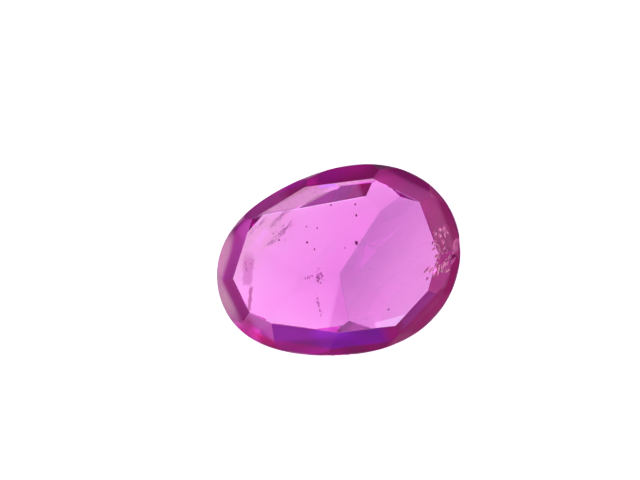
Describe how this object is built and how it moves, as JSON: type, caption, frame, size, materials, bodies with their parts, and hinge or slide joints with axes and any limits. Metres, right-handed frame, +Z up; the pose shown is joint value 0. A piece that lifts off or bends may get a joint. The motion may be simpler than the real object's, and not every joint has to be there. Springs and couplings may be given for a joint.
{
  "type": "faceted oval ruby gemstone",
  "caption": "Loose oval faceted ruby with a wide flat table and shallow pavilion, lying on one broad pavilion facet, to set in a ring or pendant.",
  "frame": {"origin": "on the surface the stone lies on, below the middle of its bounding box", "axes": "+Z up; +X along the stone's long axis as seen from above; the table leans to +X and -Y, because the stone lies on the broad pavilion facet on that side"},
  "size_m": [0.0066, 0.005, 0.0038],
  "materials": {
    "ruby": "polished, clear pink-red corundum with a slightly violet cast"
  },
  "bodies": {
    "root": {"ruby": "ruby"}
  },
  "joints": []
}
